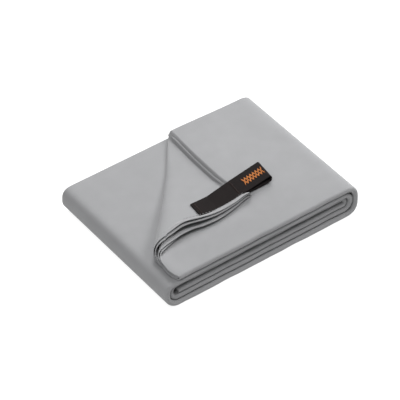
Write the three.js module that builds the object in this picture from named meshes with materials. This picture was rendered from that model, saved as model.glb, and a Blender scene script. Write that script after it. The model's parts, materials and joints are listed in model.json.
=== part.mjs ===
// Quick-dry towel folded into a travel packet.
// The cloth is folded in four across its width, which makes a flat strip, and the strip is folded
// six layers deep as a flat spiral. The last layer is the flap on top. One corner of the flap is
// turned over and carries the hang loop.
// Millimetres, +Z up, X along the packet, Y across it. The packet stands on z = 0.
import * as THREE from 'three';

// ---- packet ----
const LENGTH = 203;          // left fold to right fold
const WIDTH = 150;           // a quarter of the 600 mm towel
const LAYER_PITCH = 5;       // one layer of the folded strip: four plies of cloth
const GAP = 0.3;             // clearance between neighbouring pieces
const LAYER = LAYER_PITCH - GAP;
const FRONT_Y = -WIDTH / 2;
const BACK_Y = WIDTH / 2;

// Centres of the nested folds. The right folds share one centre and so do the left folds.
const RIGHT_FOLD_X = LENGTH / 2 - 3 * LAYER_PITCH;
const RIGHT_FOLD_Z = 3 * LAYER_PITCH;
const LEFT_FOLD_X = -LENGTH / 2 + 2.5 * LAYER_PITCH;
const LEFT_FOLD_Z = 2.5 * LAYER_PITCH;

// ---- flap, made of two bundles of two plies ----
const FLAP_BOTTOM = 5 * LAYER_PITCH;
const FLAP_END_X = -87;
const FLAP_BUNDLE = (LAYER - GAP) / 2;
const FLAP_UPPER_BOTTOM = FLAP_BOTTOM + GAP / 2 + FLAP_BUNDLE + GAP;
const STEP_RISE = 4.5;       // how far the upper bundle is puffed up beside the turned corner
const STEP_REACH = 70;       // how far that puff runs to the right before it is gone

// ---- turned corner: plan points of its three corners, for its top layer ----
const CORNER_BACK = [6, 67];
const CORNER_FRONT = [-76, -36.5];
const CORNER_TIP = [16, -38.5];
const CORNER_LAYERS = 3;
const LAYER_STAGGER = 2.6;   // each layer reaches this much further forward than the one above
const STEP_BACK_X = 11;      // left edge of the flap's upper bundle at the back of the packet
const STEP_FRONT_X = 20;     // and at the front

// ---- hems, hang loop and badge ----
const END_HEM_WIDTH = 3.5;
const SIDE_HEM_WIDTH = 6;
const END_HEM_HEIGHT = 2.6;
const SIDE_HEM_HEIGHT = 1.2;
const TAPE_WIDTH = 20;
const TAPE_FRONT_Y = -33.5;
const TAPE_BACK_Y = TAPE_FRONT_Y + TAPE_WIDTH;
const TAPE_LEFT_X = -32;
const TAPE_HINGE_X = 14;
const TAPE_RIGHT_X = 44;
const TAPE_PLY = 1.1;
const LOOP_BOTTOM = 34.7;    // clear of the puffed flap under it
const LOOP_SLIT = 3.2;
const STITCH_WIDTH = 1.2;
const STITCH_HEIGHT = 0.5;

const CLOTH = { color: 0x8e9092, roughness: 0.95, metalness: 0 };
const HEM = { color: 0x86888a, roughness: 0.95, metalness: 0 };
const TAPE = { color: 0x1b1614, roughness: 0.8, metalness: 0 };
const WOVEN = { color: 0x9a5a30, roughness: 0.75, metalness: 0 };
const THREAD = { color: 0x7d7f81, roughness: 0.9, metalness: 0 };

const mix = (a, b, t) => a + (b - a) * t;
const mixPoint = (a, b, t) => [mix(a[0], b[0], t), mix(a[1], b[1], t)];
const shifted = ([x, y], dx, dy) => [x + dx, y + dy];
const smooth = (t) => {
  const c = Math.min(1, Math.max(0, t));
  return c * c * (3 - 2 * c);
};

// ---------------------------------------------------------------------------
// Building blocks

// Closed body through a row of equal loops of 3-D points; `outline` is the flat shape of a loop.
function skin(loops, outline) {
  const count = outline.length;
  const positions = loops.flat().flatMap((p) => [p.x, p.y, p.z]);
  const index = [];
  for (let s = 0; s + 1 < loops.length; s += 1) {
    for (let i = 0; i < count; i += 1) {
      const a = s * count + i;
      const b = s * count + ((i + 1) % count);
      index.push(a, b, b + count, a, b + count, a + count);
    }
  }
  const last = (loops.length - 1) * count;
  for (const [a, b, c] of THREE.ShapeUtils.triangulateShape(outline, [])) {
    index.push(c, b, a, last + a, last + b, last + c);
  }
  const geometry = new THREE.BufferGeometry();
  geometry.setAttribute('position', new THREE.Float32BufferAttribute(positions, 3));
  geometry.setIndex(index);
  if (signedVolume(geometry) < 0) {
    geometry.setIndex(index.reverse());
  }
  return geometry;
}

function signedVolume(geometry) {
  const p = geometry.attributes.position;
  const index = geometry.index.array;
  const [a, b, c] = [new THREE.Vector3(), new THREE.Vector3(), new THREE.Vector3()];
  let total = 0;
  for (let i = 0; i < index.length; i += 3) {
    a.fromBufferAttribute(p, index[i]);
    b.fromBufferAttribute(p, index[i + 1]);
    c.fromBufferAttribute(p, index[i + 2]);
    total += a.dot(b.cross(c)) / 6;
  }
  return total;
}

// Half circle of points from angle `from` to `from + PI` about (cx, cy).
function halfCircle(cx, cy, radius, from, steps) {
  return Array.from({ length: steps + 1 }, (_, i) => {
    const angle = from + (Math.PI * i) / steps;
    return new THREE.Vector2(cx + radius * Math.cos(angle), cy + radius * Math.sin(angle));
  });
}

// Section of the folded strip: one closed fold at the front, two hemmed lips at the back.
function stripSection(thickness) {
  const half = thickness / 2;
  const lip = thickness / 4;
  return [
    ...halfCircle(BACK_Y - lip, -lip, lip, -Math.PI / 2, 6),
    ...halfCircle(BACK_Y - lip, lip, lip, -Math.PI / 2, 6),
    ...halfCircle(FRONT_Y + half, 0, half, Math.PI / 2, 10),
  ].filter((p, i, all) => i === 0 || p.distanceTo(all[i - 1]) > 0.01);
}

// Strip section carried along stations { x, z, angle }; angle is where its outer face points.
function sweepStrip(stations, thickness = LAYER) {
  const section = stripSection(thickness);
  const loops = stations.map(({ x, z, angle }) => section.map((p) => new THREE.Vector3(
    x + p.y * Math.cos(angle),
    p.x,
    z + p.y * Math.sin(angle),
  )));
  return skin(loops, section);
}

function panel(fromX, toX, layer) {
  const z = (layer + 0.5) * LAYER_PITCH;
  return sweepStrip([
    { x: fromX, z, angle: Math.PI / 2 },
    { x: toX, z, angle: Math.PI / 2 },
  ]);
}

// Half-round fold; `side` is 1 for the right end and -1 for the left end.
function fold(side, centreX, centreZ, radius, steps) {
  const stations = Array.from({ length: steps + 1 }, (_, i) => {
    const angle = Math.PI / 2 - (Math.PI * side * i) / steps;
    return {
      x: centreX + side * GAP / 2 + radius * Math.cos(angle),
      z: centreZ + radius * Math.sin(angle),
      angle,
    };
  });
  return sweepStrip(stations);
}

// Prism from a plan outline; `zOf(x, y)` gives [bottom, top] at every corner of the outline.
function plate(outline, zOf) {
  const flat = outline.map(([x, y]) => new THREE.Vector2(x, y));
  const level = (k) => outline.map(([x, y]) => new THREE.Vector3(x, y, zOf(x, y)[k]));
  return skin([level(0), level(1)], flat);
}

function add(group, name, geometry, material) {
  const mesh = new THREE.Mesh(geometry, new THREE.MeshStandardMaterial(material));
  mesh.name = name;
  group.add(mesh);
}

// ---------------------------------------------------------------------------
// Folded packet: five layers under the flap, with their end folds

function addPacket(group) {
  const right = RIGHT_FOLD_X;
  const left = LEFT_FOLD_X;
  const rightFold = (turns) => fold(1, right, RIGHT_FOLD_Z, (turns - 0.5) * LAYER_PITCH, 8 + 4 * turns);
  const leftFold = (turns) => fold(-1, left, LEFT_FOLD_Z, turns * LAYER_PITCH, 10 + 4 * turns);

  add(group, 'bottom_panel', panel(left, right, 0), CLOTH);
  add(group, 'lower_inner_panel', panel(left, right, 1), CLOTH);
  add(group, 'core_panel', panel(left + 2, right, 2), CLOTH);
  add(group, 'upper_inner_panel', panel(left, right, 3), CLOTH);
  add(group, 'left_top_panel', panel(left, right, 4), CLOTH);
  add(group, 'right_outer_fold', rightFold(3), CLOTH);
  add(group, 'right_middle_fold', rightFold(2), CLOTH);
  add(group, 'right_inner_fold', rightFold(1), CLOTH);
  add(group, 'left_outer_fold', leftFold(2), CLOTH);
  add(group, 'left_inner_fold', leftFold(1), CLOTH);
}

// ---------------------------------------------------------------------------
// Flap: a lower bundle cut back along the fold line, and an upper bundle that ends in a step
// beside the turned corner

const FLAP_RIGHT_X = RIGHT_FOLD_X - GAP / 2;

function addFlapLower(group) {
  const outline = [
    [FLAP_END_X, FRONT_Y],
    [FLAP_RIGHT_X, FRONT_Y],
    [FLAP_RIGHT_X, BACK_Y],
    [STEP_BACK_X, BACK_Y],
    CORNER_BACK,
    CORNER_FRONT,
    [FLAP_END_X, CORNER_FRONT[1] - 6],
  ];
  const bottom = FLAP_BOTTOM + GAP / 2;
  add(group, 'flap_lower_bundle', plate(outline, () => [bottom, bottom + FLAP_BUNDLE]), CLOTH);
}

// Height of the upper bundle's top face: level, but puffed up along the step.
function flapTop(x, y) {
  const across = smooth(1 - (x - STEP_BACK_X) / STEP_REACH);
  const along = smooth((y - FRONT_Y) / 45) * (1 - 0.6 * smooth((y - 10) / 65));
  return FLAP_BOTTOM + LAYER_PITCH - GAP / 2 + STEP_RISE * across * along;
}

const stepX = (y) => mix(STEP_FRONT_X, STEP_BACK_X, (y - FRONT_Y) / WIDTH);

// Slices across the packet, from the step to the right fold.
function addFlapUpper(group) {
  const columns = 14;
  const rows = 24;
  const slice = [];
  for (let j = 0; j <= rows; j += 1) {
    slice.push(new THREE.Vector2(mix(FRONT_Y, BACK_Y, j / rows), 0));
  }
  for (let j = rows; j >= 0; j -= 1) {
    slice.push(new THREE.Vector2(mix(FRONT_Y, BACK_Y, j / rows), 1));
  }
  const loops = Array.from({ length: columns + 1 }, (_, i) => slice.map(({ x: y, y: isTop }) => {
    const x = mix(stepX(y), FLAP_RIGHT_X, i / columns);
    return new THREE.Vector3(x, y, isTop ? flapTop(x, y) : FLAP_UPPER_BOTTOM);
  }));
  add(group, 'flap_upper_bundle', skin(loops, slice), CLOTH);
}

// The part of the upper bundle that runs left in front of the turned corner.
function addFlapFront(group) {
  const top = FLAP_BOTTOM + LAYER_PITCH - GAP / 2;
  const notchY = CORNER_TIP[1] - 7;
  const outline = [
    [FLAP_END_X, FRONT_Y],
    [stepX(FRONT_Y) - 2 * GAP, FRONT_Y],
    [stepX(notchY) - 2 * GAP, notchY],
    [FLAP_END_X, notchY],
  ];
  add(group, 'flap_front_bundle', plate(outline, () => [FLAP_UPPER_BOTTOM, top]), CLOTH);
}

// ---------------------------------------------------------------------------
// Turned corner: three layers that open like a fan from the back of the fold line to its front

// Bottom and top of a layer at the corner's three points.
function cornerLevels(layer) {
  const stack = (start, thickness, space) => {
    const bottom = FLAP_UPPER_BOTTOM + start + layer * (thickness + space);
    return [bottom, bottom + thickness];
  };
  return { back: stack(0, 0.6, GAP), front: stack(2.6, 1.8, 1.4), tip: stack(0, 1.1, GAP) };
}

// Height at (x, y) on the plane through one level of the corner's three points.
function planeHeight(levels, side, x, y) {
  const [back, front, tip] = [CORNER_BACK, CORNER_FRONT, CORNER_TIP];
  const cross = (p, q, r) => (q[0] - p[0]) * (r[1] - p[1]) - (q[1] - p[1]) * (r[0] - p[0]);
  const area = cross(back, front, tip);
  const here = [x, y];
  return levels.back[side] * (cross(front, tip, here) / area)
    + levels.front[side] * (cross(tip, back, here) / area)
    + levels.tip[side] * (cross(back, front, here) / area);
}

const cornerTop = (x, y) => planeHeight(cornerLevels(CORNER_LAYERS - 1), 1, x, y);

function addCornerLayers(group) {
  const names = ['corner_lower_layer', 'corner_middle_layer', 'corner_upper_layer'];
  names.forEach((name, layer) => {
    const levels = cornerLevels(layer);
    const forward = -LAYER_STAGGER * (CORNER_LAYERS - 1 - layer);
    const outline = [
      CORNER_BACK,
      CORNER_FRONT,
      shifted(CORNER_FRONT, 1, forward),
      shifted(CORNER_TIP, 0, forward * 0.5),
    ];
    const corners = forward === 0 ? [outline[0], outline[1], outline[3]] : outline;
    const zOf = (x, y) => [planeHeight(levels, 0, x, y), planeHeight(levels, 1, x, y)];
    add(group, name, plate(corners, zOf), CLOTH);
  });
}

// Half-round roll along the fold line, thin at the back and thick at the front. It is round about
// the sloping line that the corner turns on, so it turns in its own place.
function addCornerFold(group) {
  const upper = cornerLevels(CORNER_LAYERS - 1);
  const run = [CORNER_FRONT[0] - CORNER_BACK[0], CORNER_FRONT[1] - CORNER_BACK[1]];
  const runLength = Math.hypot(run[0], run[1]);
  const outward = [run[1] / runLength, -run[0] / runLength];
  const arc = halfCircle(0, 0, 1, -Math.PI / 2, 10);
  const stations = 8;
  const loops = Array.from({ length: stations + 1 }, (_, i) => {
    const t = mix(0.02, 0.98, i / stations);
    const [x, y] = mixPoint(CORNER_BACK, CORNER_FRONT, t);
    const bottom = FLAP_UPPER_BOTTOM;
    const top = mix(upper.back[1], upper.front[1], t);
    const bulge = (top - bottom) / 2 - 2 * GAP;
    return arc.map((p) => new THREE.Vector3(
      x + outward[0] * (2 * GAP + bulge * p.x),
      y + outward[1] * (2 * GAP + bulge * p.x),
      mix(bottom, top, (p.y + 1) / 2),
    ));
  });
  add(group, 'corner_fold_roll', skin(loops, arc), CLOTH);
}

function addHems(group) {
  const frontEdge = [
    shifted(CORNER_FRONT, 6, 0),
    shifted(CORNER_TIP, -2, 0.5),
    shifted(CORNER_TIP, -2, END_HEM_WIDTH),
    shifted(CORNER_FRONT, 10, END_HEM_WIDTH - 0.5),
  ];
  const onTop = (height) => (x, y) => {
    const bottom = cornerTop(x, y) + GAP;
    return [bottom, bottom + height];
  };
  add(group, 'corner_end_hem', plate(frontEdge, onTop(END_HEM_HEIGHT)), HEM);

  const sideFront = mixPoint(CORNER_BACK, CORNER_TIP, 0.75);
  const sideBack = mixPoint(CORNER_BACK, CORNER_TIP, 0.14);
  const sideEdge = [
    shifted(sideBack, -0.5, 0),
    shifted(sideBack, -SIDE_HEM_WIDTH, 0),
    shifted(sideFront, -SIDE_HEM_WIDTH, 0),
    shifted(sideFront, -0.5, 0),
  ];
  add(group, 'corner_side_hem', plate(sideEdge, onTop(SIDE_HEM_HEIGHT)), HEM);
}

// ---------------------------------------------------------------------------
// Hang loop: two plies of tape, sewn flat on the corner and free beyond it

function tapeTop(x, y) {
  return cornerTop(x, y) + GAP + 2 * TAPE_PLY;
}

function addSewnTape(group) {
  const right = TAPE_HINGE_X - GAP;
  const outline = [
    [TAPE_LEFT_X, TAPE_FRONT_Y],
    [right, TAPE_FRONT_Y],
    [right, TAPE_BACK_Y],
    [TAPE_LEFT_X, TAPE_BACK_Y],
  ];
  const zOf = (x, y) => [tapeTop(x, y) - 2 * TAPE_PLY, tapeTop(x, y)];
  add(group, 'loop_sewn_tape', plate(outline, zOf), TAPE);

  const tacks = { loop_left_bar_tack: TAPE_LEFT_X + 2, loop_right_bar_tack: TAPE_HINGE_X - 5 };
  for (const [name, x] of Object.entries(tacks)) {
    const stitch = [
      [x, TAPE_FRONT_Y + 1],
      [x + STITCH_WIDTH, TAPE_FRONT_Y + 1],
      [x + STITCH_WIDTH, TAPE_BACK_Y - 1],
      [x, TAPE_BACK_Y - 1],
    ];
    const stitchZ = (px, py) => {
      const bottom = tapeTop(px, py) + GAP;
      return [bottom, bottom + STITCH_HEIGHT];
    };
    add(group, name, plate(stitch, stitchZ), THREAD);
  }
}

// Side view of the free loop in X and Z, with its slit, drawn out to the tape's width.
function addFreeLoop(group) {
  const left = TAPE_HINGE_X + GAP;
  const thickness = 2 * TAPE_PLY + LOOP_SLIT;
  const top = LOOP_BOTTOM + thickness;
  const rise = STEP_FRONT_X + 1;
  const outer = new THREE.Shape([
    new THREE.Vector2(left, LOOP_BOTTOM),
    ...halfCircle(TAPE_RIGHT_X - thickness / 2, LOOP_BOTTOM + thickness / 2, thickness / 2,
      -Math.PI / 2, 8),
    new THREE.Vector2(rise, top),
    new THREE.Vector2(left, LOOP_BOTTOM + GAP),
  ]);
  const slitRight = TAPE_RIGHT_X - thickness / 2;
  outer.holes.push(new THREE.Path([
    new THREE.Vector2(rise + 2, LOOP_BOTTOM + TAPE_PLY),
    new THREE.Vector2(rise + 2, top - TAPE_PLY),
    new THREE.Vector2(slitRight, top - TAPE_PLY),
    new THREE.Vector2(slitRight, LOOP_BOTTOM + TAPE_PLY),
  ]));
  const geometry = new THREE.ExtrudeGeometry(outer, { depth: TAPE_WIDTH, bevelEnabled: false });
  geometry.rotateX(Math.PI / 2);
  geometry.translate(0, TAPE_BACK_Y, 0);
  add(group, 'hang_loop', geometry, TAPE);
  return top;
}

// Woven mark on the loop: a plain zigzag band.
function addBadge(group, loopTop) {
  const left = STEP_FRONT_X + 3;
  const right = TAPE_RIGHT_X - 4;
  const middle = (TAPE_FRONT_Y + TAPE_BACK_Y) / 2;
  const teeth = 8;
  const swing = 2.2;
  const band = 2.4;
  const edge = (offset) => Array.from({ length: teeth + 1 }, (_, i) => [
    mix(left, right, i / teeth),
    middle + (i % 2 === 0 ? -swing : swing) + offset,
  ]);
  const outline = [...edge(-band / 2), ...edge(band / 2).reverse()];
  const bottom = loopTop + GAP;
  add(group, 'woven_badge', plate(outline, () => [bottom, bottom + 0.5]), WOVEN);
}

// ---------------------------------------------------------------------------

const towel = new THREE.Group();
towel.name = 'quick_dry_towel';
addPacket(towel);
addFlapLower(towel);
addFlapUpper(towel);
addFlapFront(towel);
addCornerLayers(towel);
addCornerFold(towel);
addHems(towel);
addSewnTape(towel);
addBadge(towel, addFreeLoop(towel));

export default towel;
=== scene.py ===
"""Looks of a quick-dry towel folded into a travel packet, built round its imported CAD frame.

The towel is cloth folded in four across and rolled flat six layers deep. Every layer here is made
of its four real plies. Lengths inside the script are millimetres and become metres in make_mesh.
"""

import json
import math

import bmesh
import bpy
import numpy as np
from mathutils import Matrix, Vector


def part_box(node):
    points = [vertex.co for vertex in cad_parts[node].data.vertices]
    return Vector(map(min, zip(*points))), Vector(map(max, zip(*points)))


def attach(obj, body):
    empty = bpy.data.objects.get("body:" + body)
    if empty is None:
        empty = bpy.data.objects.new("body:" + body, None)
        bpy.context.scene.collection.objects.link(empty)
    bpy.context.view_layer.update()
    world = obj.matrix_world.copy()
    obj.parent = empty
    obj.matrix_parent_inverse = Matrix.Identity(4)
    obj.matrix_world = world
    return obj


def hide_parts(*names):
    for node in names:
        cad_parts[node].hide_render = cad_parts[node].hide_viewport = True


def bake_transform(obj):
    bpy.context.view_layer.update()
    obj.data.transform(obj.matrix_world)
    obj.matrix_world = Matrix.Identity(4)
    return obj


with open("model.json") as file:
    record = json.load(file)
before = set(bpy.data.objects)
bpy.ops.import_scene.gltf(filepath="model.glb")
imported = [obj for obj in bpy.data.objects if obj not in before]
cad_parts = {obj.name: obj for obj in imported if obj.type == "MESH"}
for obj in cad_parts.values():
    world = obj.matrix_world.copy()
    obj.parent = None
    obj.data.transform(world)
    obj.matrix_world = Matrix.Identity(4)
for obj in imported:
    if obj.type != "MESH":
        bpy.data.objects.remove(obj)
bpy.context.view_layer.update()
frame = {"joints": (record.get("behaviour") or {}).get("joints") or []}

MM = 0.001
UV_PER_MM = 0.1                            # texture coordinates for each millimetre of cloth


# ---------------------------------------------------------------------------
# Small maths


def mix(a, b, t):
    return a + (b - a) * t


def ramp(value, start, end):
    """0 before start, 1 after end, smooth between them; start may be above end."""
    t = np.clip((value - start) / (end - start), 0, 1)
    return t * t * (3 - 2 * t)


WAVE_LENGTHS = (61.0, 37.0, 23.0)


def waves(value, seed):
    """Gentle repeatable unevenness between about -1 and 1."""
    total = 0.0
    for i, length in enumerate(WAVE_LENGTHS):
        total = total + np.sin(2 * math.pi * value / length + seed * (2.1 + i))
    return total / len(WAVE_LENGTHS)


def curve_through(points, steps=12):
    """Smooth line of plan points through the given ones."""
    p = np.array(points, float)
    p = np.vstack([2 * p[0] - p[1], p, 2 * p[-1] - p[-2]])
    out = []
    for a, b, c, d in zip(p[:-3], p[1:-2], p[2:-1], p[3:]):
        for t in np.arange(steps) / steps:
            bend = (2 * a - 5 * b + 4 * c - d) * t**2 + (3 * b - a - 3 * c + d) * t**3
            out.append(0.5 * (2 * b + (c - a) * t + bend))
    out.append(p[-2])
    return np.array(out)


def distance_along(a, b):
    """Distance travelled at each point of the line through the points (a, b)."""
    return np.concatenate([[0], np.cumsum(np.hypot(np.diff(a), np.diff(b)))])


# ---------------------------------------------------------------------------
# Sizes from the frame, in millimetres


def box_mm(*nodes):
    boxes = [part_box(n) for n in nodes]
    low = np.min([b[0] for b in boxes], axis=0) / MM
    high = np.max([b[1] for b in boxes], axis=0) / MM
    return low, high


def joint_mm(name):
    joint = next(j for j in frame["joints"] if j["name"] == name)
    return np.array(joint["pos_m"]) / MM, np.array(joint["axis"])


packet_low, packet_high = box_mm("bottom_panel", "left_outer_fold", "right_outer_fold")
LEFT_X, FRONT_Y = packet_low[:2]
RIGHT_X, BACK_Y = packet_high[:2]
LAYER = box_mm("left_top_panel")[0][2] / 4  # four layers lie under that panel
LAYER_GAP = 2 * box_mm("bottom_panel")[0][2]
STACK = LAYER - LAYER_GAP                  # thickness of a layer's four plies
TURN_RIGHT_X = RIGHT_X - 3 * LAYER + LAYER_GAP / 2
TURN_LEFT_X = LEFT_X + 2.5 * LAYER - LAYER_GAP / 2
TURN_RIGHT_Z = 3 * LAYER
TURN_LEFT_Z = 2.5 * LAYER
FLAP_BOTTOM = 5 * LAYER + LAYER_GAP / 2

ROUND = (1.0, 1.0)                         # exponents of a wrap's upper and lower half
LEFT_WRAP = (0.62, 1.0)                    # an exponent under 1 makes it squarer than round
RIGHT_WRAP = (0.7, 0.65)
PLIES = 4                                  # in every layer
PLY = 0.2 * STACK                          # thickness of one ply in the packet
PLY_PITCH = (STACK - PLY) / (PLIES - 1)


# ---------------------------------------------------------------------------
# Meshes


def make_mesh(name, points, faces, material, uv):
    """Object from points in millimetres; uv has one pair for each point, in millimetres too."""
    mesh = bpy.data.meshes.new(name)
    mesh.from_pydata((np.asarray(points) * MM).tolist(), [], faces)
    layer = mesh.uv_layers.new(name="cloth")
    loops = np.zeros(len(mesh.loops), int)
    mesh.loops.foreach_get("vertex_index", loops)
    layer.data.foreach_set("uv", (np.asarray(uv)[loops] * UV_PER_MM).ravel())
    edited = bmesh.new()
    edited.from_mesh(mesh)
    bmesh.ops.recalc_face_normals(edited, faces=edited.faces)
    edited.to_mesh(mesh)
    edited.free()
    mesh.shade_smooth()
    mesh.materials.append(material)
    obj = bpy.data.objects.new(name, mesh)
    bpy.context.scene.collection.objects.link(obj)
    return obj


RIM = ((0.7, 0.75), (1.0, 0.3))            # reach in half thicknesses, and share of the thickness


def pad_edge(grid, thickness, uv, axis):
    """Adds the rim's shrinking rows at both ends of an axis, which round the cloth's edge."""
    grid, thickness, uv = (np.moveaxis(a, axis, 0) for a in (grid, thickness, uv))
    for end, step in ((0, 1), (-1, -1)):
        edge = grid[end]
        outward = edge - grid[end + step]
        outward /= np.maximum(np.linalg.norm(outward, axis=-1, keepdims=True), 1e-6)
        full = thickness[end]
        half = full[..., None] / 2
        for reach, size in RIM:
            place = 0 if end == 0 else len(grid)
            grid = np.insert(grid, place, edge + outward * half * reach, axis=0)
            thickness = np.insert(thickness, place, full * size, axis=0)
            uv = np.insert(uv, place, uv[end], axis=0)
    return tuple(np.moveaxis(a, 0, axis) for a in (grid, thickness, uv))


def surface_normals(grid):
    along = np.gradient(grid, axis=0)
    across = np.gradient(grid, axis=1)
    normal = np.cross(along, across)
    return normal / np.maximum(np.linalg.norm(normal, axis=-1, keepdims=True), 1e-9)


def grid_lengths(grid):
    """Pair (along, across) of lengths measured over the grid, for the weave to follow."""
    def lengths(axis):
        steps = np.linalg.norm(np.diff(grid, axis=axis), axis=-1)
        return np.insert(np.cumsum(steps, axis=axis), 0, 0, axis=axis)

    return np.stack([lengths(0), lengths(1)], axis=-1)


def cloth(name, grid, thickness, material, uv=None):
    """Closed sheet of cloth round a grid of points on its middle surface."""
    thickness = np.broadcast_to(thickness, grid.shape[:2]).astype(float)
    uv = grid_lengths(grid) if uv is None else uv
    rim_rows = (len(RIM), len(RIM))
    normal = np.pad(surface_normals(grid), (rim_rows, rim_rows, (0, 0)), mode="edge")
    grid, thickness, uv = pad_edge(grid, thickness, uv, 0)
    grid, thickness, uv = pad_edge(grid, thickness, uv, 1)
    rows, columns = grid.shape[:2]
    offset = normal * thickness[..., None] / 2
    points = np.vstack([(grid + offset).reshape(-1, 3), (grid - offset).reshape(-1, 3)])
    index = np.arange(rows * columns).reshape(rows, columns)
    quads = np.stack([index[:-1, :-1], index[1:, :-1], index[1:, 1:], index[:-1, 1:]], -1)
    quads = quads.reshape(-1, 4)
    below = quads[:, ::-1] + rows * columns
    rim = np.concatenate([index[0, :-1], index[:-1, -1], index[-1, :0:-1], index[:0:-1, 0]])
    following = np.roll(rim, -1)
    sides = np.stack([rim, following, following + rows * columns, rim + rows * columns], -1)
    faces = np.vstack([quads, below, sides]).tolist()
    return make_mesh(name, points, faces, material, np.vstack([uv.reshape(-1, 2)] * 2))


def make_tube(name, rows, material):
    """Closed tube through rings of points, with its two ends capped."""
    count, sides = rows.shape[:2]
    index = np.arange(count * sides).reshape(count, sides)
    following = np.roll(index, -1, axis=1)
    quads = np.stack([index[:-1], following[:-1], following[1:], index[1:]], -1).reshape(-1, 4)
    faces = quads.tolist() + [index[0].tolist(), index[-1].tolist()]
    uv = grid_lengths(rows).reshape(-1, 2)
    return make_mesh(name, rows.reshape(-1, 3), faces, material, uv)


STITCH_PROFILE = ((0.0, 0.35), (0.2, 0.9), (0.5, 1.0), (0.8, 0.9), (1.0, 0.35))
STITCH_SIDES = 6


def make_stitches(name, pairs, radius, material):
    """Small spindles of thread, one from each first point to its second."""
    points, faces, uvs = [], [], []
    for start, end in pairs:
        along = (end - start) / np.linalg.norm(end - start)
        side = np.cross(along, [0, 0, 1])
        side /= np.linalg.norm(side)
        up = np.cross(side, along)
        first = len(points)
        for share, size in STITCH_PROFILE:
            for i in range(STITCH_SIDES):
                angle = 2 * math.pi * i / STITCH_SIDES
                offset = (side * math.cos(angle) + up * math.sin(angle)) * radius * size
                points.append(mix(start, end, share) + offset)
                uvs.append((share * 2, i * radius))
        ring = first + np.arange(len(STITCH_PROFILE) * STITCH_SIDES).reshape(-1, STITCH_SIDES)
        turned = np.roll(ring, -1, axis=1)
        quads = np.stack([ring[:-1], turned[:-1], turned[1:], ring[1:]], -1).reshape(-1, 4)
        faces += quads.tolist() + [ring[0].tolist(), ring[-1].tolist()]
    return make_mesh(name, points, faces, material, uvs)


# ---------------------------------------------------------------------------
# Materials


ROUGHNESS = 0.95
SPECULAR = 0.2
SHEEN_ROUGHNESS = 0.5
BUMP_DEPTH = 0.0003                        # metres


def new_material(name, color, roughness, sheen=0.0):
    material = bpy.data.materials.new(name)
    material.use_nodes = True
    shader = material.node_tree.nodes["Principled BSDF"]
    shader.inputs["Base Color"].default_value = (*color, 1)
    shader.inputs["Roughness"].default_value = roughness
    shader.inputs["Specular IOR Level"].default_value = SPECULAR
    shader.inputs["Sheen Weight"].default_value = sheen
    shader.inputs["Sheen Roughness"].default_value = SHEEN_ROUGHNESS
    return material, shader


def add_node(material, kind, **settings):
    node = material.node_tree.nodes.new(kind)
    for key, value in settings.items():
        if key in node.inputs:
            node.inputs[key].default_value = value
        else:
            setattr(node, key, value)
    return node


def link(material, output, socket):
    material.node_tree.links.new(output, socket)


def weave_bump(material, shader, thread, strength, nap):
    """Crossed threads and a fine nap, both as bump; thread is the thread pitch in millimetres."""
    coordinates = add_node(material, "ShaderNodeUVMap", uv_map="cloth")
    scale = 1 / (thread * UV_PER_MM)
    band = {"Scale": scale / 3.2, "Distortion": 0.4}   # a wave texture has about 3.2 bands in a unit
    warp = add_node(material, "ShaderNodeTexWave", bands_direction="X", **band)
    weft = add_node(material, "ShaderNodeTexWave", bands_direction="Y", **band)
    fuzz = add_node(material, "ShaderNodeTexNoise", Scale=scale * 0.7, Detail=3.0)
    for texture in (warp, weft, fuzz):
        link(material, coordinates.outputs["UV"], texture.inputs["Vector"])
    threads = add_node(material, "ShaderNodeMath", operation="MULTIPLY")
    link(material, warp.outputs["Fac"], threads.inputs[0])
    link(material, weft.outputs["Fac"], threads.inputs[1])
    height = add_node(material, "ShaderNodeMix", data_type="FLOAT")
    height.inputs[0].default_value = nap
    link(material, threads.outputs[0], height.inputs[2])
    link(material, fuzz.outputs["Fac"], height.inputs[3])
    bump = add_node(material, "ShaderNodeBump", Strength=strength, Distance=BUMP_DEPTH)
    link(material, height.outputs[0], bump.inputs["Height"])
    link(material, bump.outputs["Normal"], shader.inputs["Normal"])
    return coordinates


def mottle(material, shader, coordinates, dark, light, size):
    """Slow unevenness of colour, as dyed cloth has; size is in millimetres."""
    noise = add_node(material, "ShaderNodeTexNoise", Scale=1 / (size * UV_PER_MM), Detail=4.0)
    link(material, coordinates.outputs["UV"], noise.inputs["Vector"])
    ramp_node = add_node(material, "ShaderNodeValToRGB")
    ramp_node.color_ramp.elements[0].position = 0.3
    ramp_node.color_ramp.elements[0].color = (*dark, 1)
    ramp_node.color_ramp.elements[1].position = 0.7
    ramp_node.color_ramp.elements[1].color = (*light, 1)
    link(material, noise.outputs["Fac"], ramp_node.inputs["Fac"])
    link(material, ramp_node.outputs["Color"], shader.inputs["Base Color"])


def fabric(name, color, variation, thread, strength, nap, sheen=0.15, size=18):
    """Woven material; size is that of its slow unevenness, in millimetres."""
    material, shader = new_material(name, color, ROUGHNESS, sheen)
    coordinates = weave_bump(material, shader, thread, strength, nap)
    dark = [c * (1 - variation) for c in color]
    light = [c * (1 + variation) for c in color]
    mottle(material, shader, coordinates, dark, light, size)
    return material


CLOTH = fabric(
    "microfibre", (0.205, 0.2065, 0.211), 0.03, thread=0.7, strength=0.35, nap=0.6
)
HEM_THREAD = fabric(
    "hem_thread", (0.17, 0.172, 0.176), 0.06, thread=0.4, strength=0.5, nap=0.3, size=4
)
TAPE = fabric(
    "woven_tape", (0.0052, 0.0032, 0.0031), 0.15, thread=0.8, strength=0.6, nap=0.15, sheen=0.0
)
YARN = fabric(
    "copper_yarn", (0.36, 0.125, 0.035), 0.15, thread=0.5, strength=0.6, nap=0.3, sheen=0.0, size=3
)
TAPE_THREAD = fabric(
    "tape_thread", (0.02, 0.014, 0.013), 0.1, thread=0.4, strength=0.5, nap=0.3, sheen=0.0
)


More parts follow.
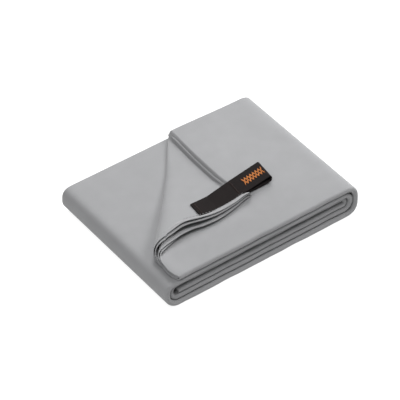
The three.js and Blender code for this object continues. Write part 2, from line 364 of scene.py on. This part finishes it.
# ---------------------------------------------------------------------------
# Section of the folded strip: one sheet laid back and forth in four plies


HEM_INSETS = (0.8, 1.8)                    # of the strip's two long edges from the back edge
NOSE_GAP = 0.6                             # the inner front fold lies this much behind the outer one


def strip_section(rows):
    """Points (y, level) over the four plies, from the lowest ply's back edge to the second's.

    Levels run from -1.5 for the lowest ply to 1.5 for the top one.
    """
    nose_y = FRONT_Y + 1.5 * PLY_PITCH + PLY / 2
    inner_nose_y = nose_y + NOSE_GAP
    back_fold_y = BACK_Y - 0.5 * PLY_PITCH - PLY / 2
    shares = np.concatenate([[0, 0.01, 0.03, 0.06], np.linspace(0.1, 0.9, rows), [0.94, 0.97, 0.99]])

    def flat(from_y, to_y, level):
        return [(mix(from_y, to_y, s), level) for s in shares]

    def bend(y, middle, radius, side, steps, upward):
        angles = np.linspace(-math.pi / 2, math.pi / 2, steps) * (1 if upward else -1)
        return [
            (y + side * radius * PLY_PITCH * math.cos(a), middle + radius * math.sin(a))
            for a in angles
        ]

    points = flat(BACK_Y - HEM_INSETS[0], nose_y, -1.5)
    points += bend(nose_y, 0, 1.5, -1, 13, True)
    points += flat(nose_y, back_fold_y, 1.5)[1:]
    points += bend(back_fold_y, 1.0, 0.5, 1, 7, False)
    points += flat(back_fold_y, inner_nose_y, 0.5)[1:]
    points += bend(inner_nose_y, 0, 0.5, -1, 7, False)
    points += flat(inner_nose_y, BACK_Y - HEM_INSETS[1], -0.5)[1:]
    return np.array(points)


SECTION_Y, SECTION_LEVEL = strip_section(8).T
FLAP_Y, FLAP_LEVEL = strip_section(30).T   # finer, because the flap is uneven along y


def squared(sine, exponents):
    """Outward distance and height of a wrap's outline, for radius 1, at this sine of its angle."""
    exponent = exponents[0] if sine > 0 else exponents[1]
    return (1 - sine**2) ** (exponent / 2), math.copysign(abs(sine) ** exponent, sine)


# ---------------------------------------------------------------------------
# Packet: five layers and the folds between them, as one spiral of cloth


# The spiral's layers from the inside out, counted from the bottom one, and how far the front edge of
# each lies behind the packet's front. They run to the right and to the left in turn.
LAYERS_OUTWARD = (2, 3, 1, 4, 0)
FRONT_SHIFTS = (1.0, 3.2, 0.0, 0.2, -2.2)
CORE_INSET = 2                             # the innermost layer starts this far from the left turn
STRAIGHT_STEPS = 26
TURN_STEPS = 12                            # and one more for each millimetre of radius
UNEVENNESS = 0.35                          # of the layers' front edges


def front_share(y):
    """How far a layer's front shift applies: fully at the front edge, not at the back."""
    return ramp(y, 60, FRONT_Y + 15)


def spiral_stations():
    """Rows (x, z, outward x, outward z, y shift) from the innermost layer to the bottom one."""
    rows = []

    def straight(from_x, to_x, number):
        """One layer: outward is down on the way to the right, and up on the way to the left."""
        side = -1 if number % 2 == 0 else 1
        z = (LAYERS_OUTWARD[number] + 0.5) * LAYER
        for s in np.arange(STRAIGHT_STEPS + 1) / STRAIGHT_STEPS:
            rows.append((mix(from_x, to_x, s), z, 0.0, side, FRONT_SHIFTS[number]))

    def turn(centre_x, centre_z, number, side, wrap=ROUND):
        """Half turn after a layer: upward at the right, downward at the left."""
        radius = 0.5 * (number + 1) * LAYER
        count = TURN_STEPS + int(radius)
        for s in np.arange(1, count) / count:
            angle = math.pi * (s - 0.5)
            out_x, out_z = squared(side * math.sin(angle), wrap)
            out_x *= side
            shift = mix(FRONT_SHIFTS[number], FRONT_SHIFTS[number + 1], s)
            rows.append((centre_x + radius * out_x, centre_z + radius * out_z, out_x, out_z, shift))

    straight(TURN_LEFT_X + CORE_INSET, TURN_RIGHT_X, 0)
    turn(TURN_RIGHT_X, TURN_RIGHT_Z, 0, 1)
    straight(TURN_RIGHT_X, TURN_LEFT_X, 1)
    turn(TURN_LEFT_X, TURN_LEFT_Z, 1, -1)
    straight(TURN_LEFT_X, TURN_RIGHT_X, 2)
    turn(TURN_RIGHT_X, TURN_RIGHT_Z, 2, 1)
    straight(TURN_RIGHT_X, TURN_LEFT_X, 3)
    turn(TURN_LEFT_X, TURN_LEFT_Z, 3, -1, LEFT_WRAP)
    straight(TURN_LEFT_X, TURN_RIGHT_X, 4)
    return np.array(rows)


def make_packet_cloth():
    """The packet's spiral, with its length and the strip's flat width."""
    rows = spiral_stations()
    x, z, out_x, out_z, shift = (rows[:, i][:, None] for i in range(5))
    travelled = distance_along(rows[:, 0], rows[:, 1])
    depth = SECTION_LEVEL[None, :] * PLY_PITCH
    to_flap = (travelled[-1] - travelled)[:, None]
    uneven = UNEVENNESS * waves(travelled, 1.7)[:, None] * ramp(to_flap, 0, 30)
    y = SECTION_Y[None, :] + (shift + uneven) * front_share(SECTION_Y)[None, :]
    grid = np.stack([x + out_x * depth, y, z + out_z * depth], -1)
    section_run = distance_along(SECTION_Y, PLY_PITCH * SECTION_LEVEL)
    uv = np.stack(np.meshgrid(travelled, section_run, indexing="ij"), -1)
    obj = cloth("packet_cloth", grid, PLY, CLOTH, uv)
    return obj, travelled[-1], section_run[-1]


# ---------------------------------------------------------------------------
# Plan of the flap and of its turned corner

RIDGE_START = np.array([11.0, 73.5])       # middle of the roll where it leaves the back edge
RIDGE_DIRECTION = np.array([-0.620, -0.7846])
CORNER_SIDE = np.array([0.7846, -0.620])   # across the ridge, towards the turned corner
RIDGE_LENGTH = 164.0                       # to where the roll starts at the towel's end edge
CORNER_Y = (RIDGE_START + RIDGE_LENGTH * RIDGE_DIRECTION)[1]
TIP = (17.6, -34.7)
SIDE_EDGE = [
    (13.0, 75.0), (12.6, 60.0), (11.0, 38.0), (10.0, 18.0),
    (9.8, 0.0), (11.0, -14.0), (14.2, -26.0), TIP,
]
SIDE_EDGE_LINE = curve_through(SIDE_EDGE)
END_EDGE = [(8.6, -34.4), (-2.0, -36.0), (-20.5, -37.4), (-36.0, -35.6), (-51.0, -33.0)]
END_EDGE_TURN = (137.0, 150.0)             # where it meets the ridge: outermost and innermost ply
END_EDGE_X = (-86.5, -89.5)                # flap's left edge, at its front and where the roll starts
END_BOW = 2.6                              # it bulges this much between the two
END_STAGGER = 0.2                          # each ply of the flap ends this much further out
END_RAISE = 1.5                            # how far the flap's end edge stands off the packet
END_THINNED = 0.6                          # share of thickness that its plies lose there
END_PAIRED = 0.7                           # how far its middle plies move to the outer ones there
PUFF = 4.4                                 # how far the flap is puffed up beside the corner
PUFF_X = 11.0                              # where the puff is highest, and how far it reaches
PUFF_REACH = 75.0
FLATTENED = 1.0                            # thickness of the flap under the corner's back end
SIDE_FOOT = 4.3                            # the corner's side edge stops this far from the shoulder


def side_edge_x(y):
    """The line where the corner's side edge lies against the puffed flap."""
    return np.interp(-y, -SIDE_EDGE_LINE[:, 1], SIDE_EDGE_LINE[:, 0])


def ridge_point(t):
    return RIDGE_START + np.multiply.outer(t, RIDGE_DIRECTION)


def end_edge_x(y, level):
    """Towel's end edge on the flap; lower plies reach further out than upper ones."""
    share = (CORNER_Y - y) / (CORNER_Y - FRONT_Y)
    bow = END_BOW * np.sin(math.pi * np.clip(share, 0, 1))
    edge = mix(END_EDGE_X[1], END_EDGE_X[0], share) - bow
    return edge - END_STAGGER * (1.5 - level) * ramp(y, FRONT_Y - 4, FRONT_Y + 12)


def at_end(x, y):
    """1 at the towel's end edge in front of the roll, 0 everywhere further in."""
    near = ramp(x - end_edge_x(y, 0.0), 14, 2)
    return near * ramp(y, CORNER_Y + 16, CORNER_Y + 4) * ramp(y, FRONT_Y, FRONT_Y + 12)


def flap_stack(x, y):
    """Thickness of the flap's four plies: thin under the turned corner, puffed up beside it."""
    flattened = mix(STACK + 0.6, FLATTENED, ramp(y, -68, 38))
    across = ramp(x, PUFF_X + PUFF_REACH, PUFF_X) * mix(1, 0.3, ramp(x, PUFF_X, -80))
    along = ramp(y, FRONT_Y, FRONT_Y + 45) * (1 - 0.5 * ramp(y, 0, BACK_Y))
    puffed = STACK + PUFF * across * along
    edge = side_edge_x(y)
    spread = 30 * ramp(y, -24, -42)        # the step beside the corner fades out in front of the tip
    low_half = ramp(x, edge - 5.0 - spread, edge - 1.4 + spread)
    high_half = ramp(x, edge - 1.6 - spread, edge + 1.0 + spread)
    step = 0.5 * low_half + 0.5 * high_half
    in_front = ramp(y, -38, -56)
    return mix(mix(flattened, puffed, step), puffed, in_front)


def flap_ply(stack):
    """Thickness of one ply of a stack; the rest of the stack is air."""
    return 0.8 * stack / PLIES


def flap_height(x, y, level):
    """Middle of a flap ply; level runs from -1.5 for the lowest to 1.5 for the top one."""
    stack = flap_stack(x, y)
    ply = flap_ply(stack)
    above = (level + 1.5) / (PLIES - 1) * (stack - ply)
    return FLAP_BOTTOM + ply / 2 + above + END_RAISE * at_end(x, y)


def flap_left_x(y, level):
    """Left end of the flap: the ridge, and in front of it the towel's end edge."""
    on_ridge = RIDGE_START[0] + (y - RIDGE_START[1]) * RIDGE_DIRECTION[0] / RIDGE_DIRECTION[1]
    return np.minimum(np.maximum(on_ridge, end_edge_x(y, level)), RIDGE_START[0])


def ridge_length(level):
    """Length of the ridge up to where a ply's end edge meets it."""
    t = np.linspace(120, 190, 1401)
    plan = ridge_point(t)
    return float(t[np.argmax(plan[:, 0] < end_edge_x(plan[:, 1], level))])


FLAP_TURN_STEPS = 22
FLAP_STEPS = (40, 36, 40)                  # right of the shoulder, down its side, and on to the left


def make_flap_cloth():
    """The right outer wrap and the flap, as one sheet; its left end follows the ridge."""
    turns = np.linspace(-math.pi / 2, math.pi / 2, FLAP_TURN_STEPS)[:-1]
    radius = 2.5 * LAYER + FLAP_LEVEL * PLY_PITCH
    outline = np.array([squared(math.sin(angle), RIGHT_WRAP) for angle in turns])
    wrap = np.stack([
        TURN_RIGHT_X + outline[:, :1] * radius[None, :],
        np.broadcast_to(FLAP_Y, (len(turns), len(FLAP_Y))),
        TURN_RIGHT_Z + outline[:, 1:] * radius[None, :],
    ], -1)
    below = 1 - np.arange(len(turns)) / len(turns)
    wrap[:, :, 1] += (FRONT_SHIFTS[-1] * below)[:, None] * front_share(FLAP_Y)[None, :]
    left = flap_left_x(FLAP_Y, FLAP_LEVEL)[None, :]
    shoulder = side_edge_x(FLAP_Y)[None, :] + 3
    foot = np.maximum(shoulder - 11, mix(shoulder, left, 0.75))
    wide, steep, last = (np.linspace(0, 1, steps)[:, None] for steps in FLAP_STEPS)
    x = np.vstack([
        mix(TURN_RIGHT_X, shoulder, wide[:-1]),
        mix(shoulder, foot, steep[:-1]),
        mix(foot, left, last),
    ])
    y = np.broadcast_to(FLAP_Y, x.shape) + 0.3 * waves(x, 0.6) * ramp(FLAP_Y[None, :], -40, -70)
    end_share = at_end(x, y)
    middle_plies = ramp(np.abs(FLAP_LEVEL), 1.2, 0.6)
    paired = FLAP_LEVEL[None, :] * (1 + END_PAIRED * end_share * middle_plies)
    z = flap_height(x, y, paired)
    grid = np.vstack([wrap, np.stack([x, y, z], -1)])
    thickness = flap_ply(flap_stack(x, y)) * (1 - END_THINNED * end_share)
    thickness = np.vstack([np.full(wrap.shape[:2], PLY), thickness])
    return cloth("flap_cloth", grid, thickness, CLOTH)


# ---------------------------------------------------------------------------
# Turned corner: four plies that leave the flap, go round the roll and lie on top as a triangle.
# Ply 0 is the outermost of the roll and the top face of the corner; ply 3 is the innermost.

PLIES_ABOVE = (3.0, 2.2, 0.75, 0.0)        # how many mean distances each lies above the innermost
ROLL_RADIUS = (0.12, 1.55)                 # inner radius of the roll, at the back and at its end
ROLL_LEAN = 5.5                            # how far its top leans towards the corner, at the most
ROLL_BULGE = 1.15                          # its width for its height
WRAP_SLACK = 1.07                          # cloth round the roll, for a round section's length
FAN_PITCH = (0.27, 0.25, 1.6)              # at the back, added in the middle, added at the front left
PLY_SHARE = 0.6                            # of a ply in the distance between plies
BODY_THICKNESS = 0.45                      # at the most
HEM_THICKNESS = (0.5, 0.75)                # in the roll and on top
HEM_WIDTH = (3.5, 5.0)                     # where the end hem's doubled cloth ends
RIM_LIFT = 1.0                             # how far the end hem stands up
RIM_OPENING = (1.1, 0.9)                   # added between the plies there, at the tip and at the left
ACROSS_EDGE = 0.75                         # a row meets the end edge at a slant: turns way to distance
FAR = 99.0                                 # a distance from the end edge where it no longer matters
WRAP_COLUMNS = 18
TOP_COLUMNS = 34
BACK_ROWS = 46
FRONT_ROWS = 44
END_ROWS = 22


def roll_radius(t):
    """Inner radius of the roll, small at the back edge and larger at the end edge."""
    return mix(ROLL_RADIUS[0], ROLL_RADIUS[1], np.clip(t / RIDGE_LENGTH, 0, 1))


def roll_lean(t):
    """How far the top of the roll lies beyond its middle, towards the corner."""
    return ROLL_LEAN * ramp(t, 2, 60) * ramp(t, RIDGE_LENGTH - 8, RIDGE_LENGTH - 50)


def fan_pitch(x, y):
    """Mean distance between the corner's plies, which open like a fan towards the front left."""
    back, middle, left = FAN_PITCH
    return back + middle * ramp(y, 66, 10) + left * ramp(x, 14, -72) * ramp(y, 60, -30)


def ply_edge(ply):
    """(t, u) line of a ply's outer edge: side edge, tip, end edge, in that order."""
    depth = PLIES_ABOVE[0] - PLIES_ABOVE[ply]
    back = [RIDGE_START - [2.5, 3.2]]
    for x, y in SIDE_EDGE[1:]:
        back.append((x - mix(0.4, SIDE_FOOT, ramp(y, -24, 0)) - 0.1 * depth, y))
    front = []
    for x, y in END_EDGE:
        stagger = 0.3 + 2.2 * ramp(x, 20, -50)
        front.append((x, y - stagger * (depth if ply < PLIES - 1 else 1.0)))
    end = ridge_point(mix(END_EDGE_TURN[0], END_EDGE_TURN[1], depth / (PLIES - 1)))
    back_line = curve_through(back)
    front_line = curve_through([back[-1], *front, end])
    line = np.vstack([back_line, front_line[1:]]) - RIDGE_START
    return line @ RIDGE_DIRECTION, line @ CORNER_SIDE


def corner_height(ply, x, y, t, u, to_end_edge):
    """Middle of a corner ply over the point (x, y), which is also t along and u across the ridge."""
    bed = flap_height(x, y, 1.5)
    resting = flap_ply(flap_stack(x, y)) / 2 + 0.25
    lift = mix(2 * roll_radius(t), resting, ramp(u, -6, 34))
    rim = (1 - ramp(to_end_edge, 2.0, 9.0)) * ramp(u, 0, 12)
    opening = mix(RIM_OPENING[0], RIM_OPENING[1], ramp(x, 14, -72)) * rim
    return bed + lift + RIM_LIFT * rim + PLIES_ABOVE[ply] * (fan_pitch(x, y) + opening)


def roll_point(ply, t, q, wrap):
    """Point at path length q over the ridge: round the roll first, then along the top."""
    above = PLIES_ABOVE[ply]
    centre = ridge_point(t)
    cx, cy = centre[..., 0], centre[..., 1]
    stack = flap_stack(cx, cy)
    inner = roll_radius(t)
    below_radius = inner + above * (stack - flap_ply(stack)) / (PLIES - 1)
    top_radius = inner + above * fan_pitch(cx, cy)
    share = np.clip(q / wrap, 0, 1)
    radius = mix(below_radius, top_radius, share)
    middle = flap_height(cx, cy, 1.5) + inner
    lean = roll_lean(t) * share**2
    u = lean - ROLL_BULGE * radius * np.sin(math.pi * share) + np.maximum(q - wrap, 0)
    return centre, u, middle - radius * np.cos(math.pi * share)


def wrap_length(ply, t):
    """Length of a ply's way round the roll, from the flap's top to the corner's."""
    x, y = ridge_point(t).T
    stack = flap_stack(x, y)
    below_pitch = (stack - flap_ply(stack)) / (PLIES - 1)
    mean_pitch = 0.5 * below_pitch + 0.5 * fan_pitch(x, y)
    return math.pi * (roll_radius(t) + PLIES_ABOVE[ply] * mean_pitch) * WRAP_SLACK


def corner_ply_lines(ply):
    """Grid of places t along the ridge and path lengths q over it, with the path's length round the
    roll at each, and the tip's place along the ridge.
    """
    edge_t, edge_u = ply_edge(ply)
    turn_t = edge_t[-1]
    end_t = ridge_length(ply - 1.5)
    tip_t = edge_t[np.argmax(edge_u)]
    t = np.concatenate([
        np.linspace(4.2, tip_t, BACK_ROWS)[:-1],
        np.linspace(tip_t, turn_t, FRONT_ROWS)[:-1],
        np.linspace(turn_t, end_t - 0.3, END_ROWS),
    ])
    wrap = wrap_length(ply, t)
    on_top = np.maximum(np.interp(t, edge_t, edge_u) - roll_lean(t), 0)
    before_end = np.clip((end_t - t) / (end_t - turn_t), 0, 1)
    total = np.where(t < turn_t, wrap + on_top, wrap * before_end**0.9)
    first = np.minimum(wrap, 0.7 * total)
    round_shares = np.linspace(0, 1, WRAP_COLUMNS + 1)
    top_shares = 1 - (1 - np.linspace(0, 1, TOP_COLUMNS + 1)[1:]) ** 1.6
    q = np.hstack([
        first[:, None] * round_shares,
        first[:, None] + (total - first)[:, None] * top_shares,
    ])
    rows = np.broadcast_to(t[:, None], q.shape)
    return rows, q, np.broadcast_to(wrap[:, None], q.shape), tip_t


def make_corner_ply(ply):
    rows, q, wrap, tip_t = corner_ply_lines(ply)
    plan, u, z = roll_point(ply, rows, q, wrap)
    x = plan[..., 0] + u * CORNER_SIDE[0]
    y = plan[..., 1] + u * CORNER_SIDE[1]
    to_edge = q[:, -1:] - q
    to_end_edge = mix(FAR, to_edge * ACROSS_EDGE, ramp(rows, tip_t - 8, tip_t + 2))
    flat = corner_height(ply, x, y, rows, np.maximum(q - wrap, 0), to_end_edge)
    z = np.where(q > wrap, flat, z)
    pitch = fan_pitch(x, y)
    body = np.minimum(PLY_SHARE * pitch, BODY_THICKNESS)
    hem = mix(HEM_THICKNESS[0], HEM_THICKNESS[1], ramp(q, 0.5 * wrap, wrap))
    hem = np.minimum(PLY_SHARE * (pitch + 0.7), hem)
    thickness = mix(body, hem, 1 - ramp(to_end_edge, HEM_WIDTH[0], HEM_WIDTH[1]))
    grid = np.stack([x, y, z], -1)
    return cloth(f"corner_ply_{ply + 1}", grid, thickness, CLOTH, np.stack([rows, q], -1))


# ---------------------------------------------------------------------------
# Hang loop

TAPE_PLY = 0.75                            # thickness of the tape
TAPE_YAW = math.radians(3.2)
TAPE_SHEAR = 0.12                          # its ends are cut a little off square
TAPE_ASKEW = 1.6                           # the loop's lower side lies this much further forward
BRIDGE = (28, 6)                           # where the tape rises to the loop, left of the seam
MOTIF_TURNS = 7
MOTIF_STEPS = 8                            # in each of them
MOTIF_INSET = 5.5                          # from the seam, so that it clears the tack when folded
MOTIF_HEIGHT = 6.4
MOTIF_WIDTH = 1.9
MOTIF_THICKNESS = 0.4
TACK_INSET = 1.6                           # of a bar tack's ends from the tape's edges
TACK_PITCH = 0.55
TACK_REACH = 0.9                           # of its stitches, to either side
STITCH_INSET = 3.4                         # of the end hem's seam from the edge
STITCH_PITCH = 3.0
STITCH_LENGTH = 2.1
SIDE_HEM_SIZE = (1.2, 0.6)                 # half widths of its oval section
SIDE_HEM_LEAN = math.radians(50)
SIDE_HEM_INSET = 2.1                       # from the side edge's line
SIDE_HEM_RAISE = 0.45
SIDE_HEM_ENDS = (BACK_Y - 3.0, -30.0)


class TapeShape:
    """Shape of the hang loop's tape: sewn flat on the corner, then a bridge and a puffed loop."""

    def __init__(self):
        sewn_low, sewn_high = box_mm("loop_sewn_tape")
        loop_low, loop_high = box_mm("hang_loop")
        self.width = sewn_high[1] - sewn_low[1]
        self.left = sewn_low[0]
        self.middle_y = (sewn_low[1] + sewn_high[1]) / 2 - 0.4
        hinge_x = joint_mm("loop_seam")[0][0]
        self.bridge_x = (hinge_x - BRIDGE[0], hinge_x - BRIDGE[1])
        self.radius = (loop_high[2] - loop_low[2] - TAPE_PLY) / 2 - 0.2
        self.turn_x = loop_high[0] - self.radius - TAPE_PLY / 2
        self.loop_z = loop_low[2] + TAPE_PLY / 2

    def plan(self, x, v):
        """Plan point at distance v across the tape from its middle line."""
        return x + TAPE_SHEAR * v, self.middle_y + v + (x - self.left) * math.tan(TAPE_YAW)

    def lower(self, x, y):
        """Height of the lower side: on the corner, straight up to the flap's shoulder, and along it."""
        held = tape_seat(min(x, self.bridge_x[0]), y)
        along = np.clip((x - self.bridge_x[0]) / (self.bridge_x[1] - self.bridge_x[0]), 0, 1)
        return mix(held, self.loop_z, along)

    def upper(self, x, y):
        """Height of the upper side, which rises from the lower one as far as the turn."""
        lift = np.clip((x - self.bridge_x[1]) / (self.turn_x - self.bridge_x[1]), 0, 1)
        return self.lower(x, y) + mix(TAPE_PLY + 0.1, 2 * self.radius, lift)

    def on_top(self, x, v, above):
        """Point above the loop's outer face."""
        px, py = self.plan(x, v)
        return px, py, self.upper(x, py) + TAPE_PLY / 2 + above

    def on_sewn(self, x, v):
        """Point on the tape's top face for the end of a stitch."""
        return np.array(self.on_top(x, v, 0.08))


def make_tape():
    """Hang loop: a folded length of tape, with its width and its length."""
    tape = TapeShape()
    across = np.linspace(-0.5, 0.5, 15) * tape.width

    def row(x, height, askew=0.0):
        plan = [tape.plan(x, v + askew) for v in across]
        return [(px, py, height(x, py)) for px, py in plan]

    runs = np.linspace(tape.left, tape.turn_x, 90)
    grid = []
    for x in runs:
        askew = -TAPE_ASKEW * ramp(x, tape.bridge_x[1], tape.turn_x - 6)
        grid.append(row(x, tape.lower, askew))
    for angle in np.linspace(-math.pi / 2, math.pi / 2, 17)[1:-1]:
        x = tape.turn_x + tape.radius * math.cos(angle)
        rise = tape.radius * (1 + math.sin(angle))
        askew = -TAPE_ASKEW * (0.5 - 0.5 * math.sin(angle))
        grid.append(row(x, lambda _, py: tape.lower(tape.turn_x, py) + rise, askew))
    grid += [row(x, tape.upper) for x in runs[::-1]]
    length = float(np.sum(np.linalg.norm(np.diff(np.array(grid)[:, 7], axis=0), axis=-1)))
    return cloth("hang_tape", np.array(grid), TAPE_PLY, TAPE), tape.width, length


def tape_seat(x, y, to_end_edge=FAR):
    """Height at which tape lies on the corner's top face."""
    from_start = np.array([x, y]) - RIDGE_START
    t = float(from_start @ RIDGE_DIRECTION)
    u = float(from_start @ CORNER_SIDE)
    return corner_height(0, x, y, t, u, to_end_edge) + 0.55


def side_hem_point(y):
    """Middle of the rolled side hem, half way up the flap's steep side."""
    x = side_edge_x(y) - SIDE_HEM_INSET
    flap_top = flap_height(x, y, 1.5) + 0.5 * flap_ply(flap_stack(x, y))
    return np.array([x, y, flap_top + SIDE_HEM_RAISE])


def make_side_hem():
    """Rolled hem of the turned corner, from the back corner to under the tape."""
    around = np.linspace(0, 2 * math.pi, 17)[:-1]
    lean_x, lean_z = math.cos(SIDE_HEM_LEAN), math.sin(SIDE_HEM_LEAN)
    rows = []
    for share in np.linspace(0, 1, 110):
        y = mix(SIDE_HEM_ENDS[0], SIDE_HEM_ENDS[1], share)
        closing = min(0.5, 0.04 + 6 * min(share, 1 - share))
        size = math.sin(math.pi * closing) * (1 + 0.08 * waves(y, 0.9))
        wide = SIDE_HEM_SIZE[0] * size * np.cos(around)
        high = SIDE_HEM_SIZE[1] * size * np.sin(around)
        centre = side_hem_point(y)
        rows.append(np.stack([
            centre[0] + wide * lean_x - high * lean_z,
            np.full(len(around), y),
            centre[2] + wide * lean_z + high * lean_x,
        ], -1))
    return make_tube("side_hem", np.array(rows), CLOTH)


def make_motif(number):
    """One of two mirrored zigzag bands woven on the loop, which cross to make diamonds."""
    tape = TapeShape()
    start = joint_mm("loop_seam")[0][0] + MOTIF_INSET
    share = np.linspace(0, 1, 1 + MOTIF_STEPS * MOTIF_TURNS)
    x = mix(start, tape.turn_x - 1, share)
    swing = np.abs(share * MOTIF_TURNS % 2 - 1) * 2 - 1
    swing *= 1 if number == 1 else -1
    across = np.array([-0.5, -0.2, 0.2, 0.5]) * MOTIF_WIDTH
    grid = []
    for along, side in zip(x, swing):
        middle = side * MOTIF_HEIGHT / 2
        grid.append([tape.on_top(along, middle + v, 0.12) for v in across])
    return cloth(f"badge_zigzag_{number}", np.array(grid), MOTIF_THICKNESS, YARN)


def make_bar_tack(name, node):
    """Dense row of stitches across the sewn tape."""
    tape = TapeShape()
    low, high = box_mm(node)
    middle = (low[0] + high[0]) / 2
    half = tape.width / 2 - TACK_INSET
    pairs = []
    for v in np.arange(-half, half, TACK_PITCH):
        start = tape.on_sewn(middle - TACK_REACH, v)
        pairs.append((start, tape.on_sewn(middle + TACK_REACH, v + 0.3)))
    return make_stitches(name, pairs, 0.24, TAPE_THREAD)


def make_hem_stitches():
    """Row of stitches that holds the end hem down, seen on the corner's top face."""
    edge_t, edge_u = ply_edge(0)
    tip = int(np.argmax(edge_u))
    plan = ridge_point(edge_t) + np.outer(edge_u, CORNER_SIDE)
    line = plan[tip + 8:-10] + np.array([0.5, STITCH_INSET])
    run = distance_along(line[:, 0], line[:, 1])

    def on_corner(distance):
        x, y = (np.interp(distance, run, line[:, i]) for i in (0, 1))
        return np.array([x, y, tape_seat(x, y, STITCH_INSET * ACROSS_EDGE) - 0.1])

    starts = np.arange(1.0, run[-1] - STITCH_PITCH, STITCH_PITCH)
    pairs = [(on_corner(d), on_corner(d + STITCH_LENGTH)) for d in starts]
    return make_stitches("hem_stitches", pairs, 0.2, HEM_THREAD)


# ---------------------------------------------------------------------------
# Pieces and what they ride on.

CORNER_BEND_SLANT = 0.2                    # lean of the upward direction at the corner's fold towards the corner, for each millimetre upward
CORNER_STANDS_FOR = {
    0: ("corner_upper_layer", "corner_fold_roll", "corner_end_hem"),
    1: ("corner_middle_layer",),
    3: ("corner_lower_layer",),
}

packet_cloth, packet_run, section_run = make_packet_cloth()
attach(packet_cloth, "packet")
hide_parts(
    "bottom_panel", "lower_inner_panel", "core_panel", "upper_inner_panel",
    "left_top_panel", "right_outer_fold", "right_middle_fold", "right_inner_fold",
    "left_outer_fold", "left_inner_fold",
)

flap_cloth = make_flap_cloth()
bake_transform(flap_cloth)
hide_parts("flap_lower_bundle", "flap_upper_bundle", "flap_front_bundle")

corner_pivot, corner_axis = joint_mm("corner_fold")
upward = np.array([*(CORNER_BEND_SLANT * CORNER_SIDE), 1.0])
upward -= float(upward @ corner_axis) * corner_axis
for number in range(PLIES):
    ply_object = make_corner_ply(number)
    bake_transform(ply_object)
    if number in CORNER_STANDS_FOR:
        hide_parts(*CORNER_STANDS_FOR[number])

side_hem = make_side_hem()
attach(side_hem, "turned_corner")
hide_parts("corner_side_hem")

hem_stitches = make_hem_stitches()
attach(hem_stitches, "turned_corner")

tape, tape_width, tape_length = make_tape()
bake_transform(tape)
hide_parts("loop_sewn_tape", "hang_loop")

for side in ("left", "right"):
    tack = make_bar_tack(f"{side}_bar_tack", f"loop_{side}_bar_tack")
    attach(tack, "turned_corner")
    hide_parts(f"loop_{side}_bar_tack")

motifs = [make_motif(number) for number in (1, 2)]
for motif in motifs:
    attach(motif, "hang_loop")
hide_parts("woven_badge")


# ---------------------------------------------------------------------------
# Floor, light, camera

AZIMUTH = math.radians(-36.8)
ELEVATION = math.radians(42.3)
AIM = Vector((0.0015, 0.0161, 0.0))        # metres
DISTANCE = 2.232
LENS = 234.0
FLOOR_REACH = 6.0
FLOOR_GLOW = 0.86                          # lifts the paper to the photo's white
SKY = 0.38


def make_floor():
    mesh = bpy.data.meshes.new("floor")
    corners = [(FLOOR_REACH * x, FLOOR_REACH * y, 0) for x, y in ((-1, -1), (1, -1), (1, 1), (-1, 1))]
    mesh.from_pydata(corners, [], [(0, 1, 2, 3)])
    floor = bpy.data.objects.new("floor", mesh)
    bpy.context.scene.collection.objects.link(floor)
    material, shader = new_material("floor_paper", (0.22, 0.22, 0.22), 0.9)
    shader.inputs["Emission Color"].default_value = (1, 1, 1, 1)
    shader.inputs["Emission Strength"].default_value = FLOOR_GLOW
    mesh.materials.append(material)


def add_area(name, location, size, power):
    """Round soft light that points at the towel."""
    light = bpy.data.lights.new(name, "AREA")
    light.shape = "DISK"
    light.size = size
    light.energy = power
    obj = bpy.data.objects.new(name, light)
    obj.location = location
    obj.rotation_euler = (-Vector(location)).to_track_quat("-Z", "Y").to_euler()
    bpy.context.scene.collection.objects.link(obj)


def make_lights():
    world = bpy.data.worlds.new("studio")
    bpy.context.scene.world = world
    world.use_nodes = True
    background = world.node_tree.nodes["Background"]
    background.inputs["Color"].default_value = (1, 1, 1, 1)
    background.inputs["Strength"].default_value = SKY
    add_area("key", (0.9, 1.2, 1.35), 1.0, 42)
    add_area("side", (1.6, -0.15, 1.15), 0.8, 30)
    add_area("top", (-0.85, -0.4, 1.8), 1.3, 26)


def make_camera():
    data = bpy.data.cameras.new("camera")
    data.lens = LENS
    data.sensor_width = 36
    data.clip_start = 0.05
    data.clip_end = 50
    back = Vector((
        math.sin(AZIMUTH) * math.cos(ELEVATION),
        -math.cos(AZIMUTH) * math.cos(ELEVATION),
        math.sin(ELEVATION),
    ))
    camera = bpy.data.objects.new("camera", data)
    camera.location = AIM + back * DISTANCE
    camera.rotation_mode = "QUATERNION"
    camera.rotation_quaternion = (-back).to_track_quat("-Z", "Y")
    bpy.context.scene.collection.objects.link(camera)
    bpy.context.scene.camera = camera


make_floor()
make_lights()
make_camera()
bpy.context.scene.view_settings.view_transform = "Standard"
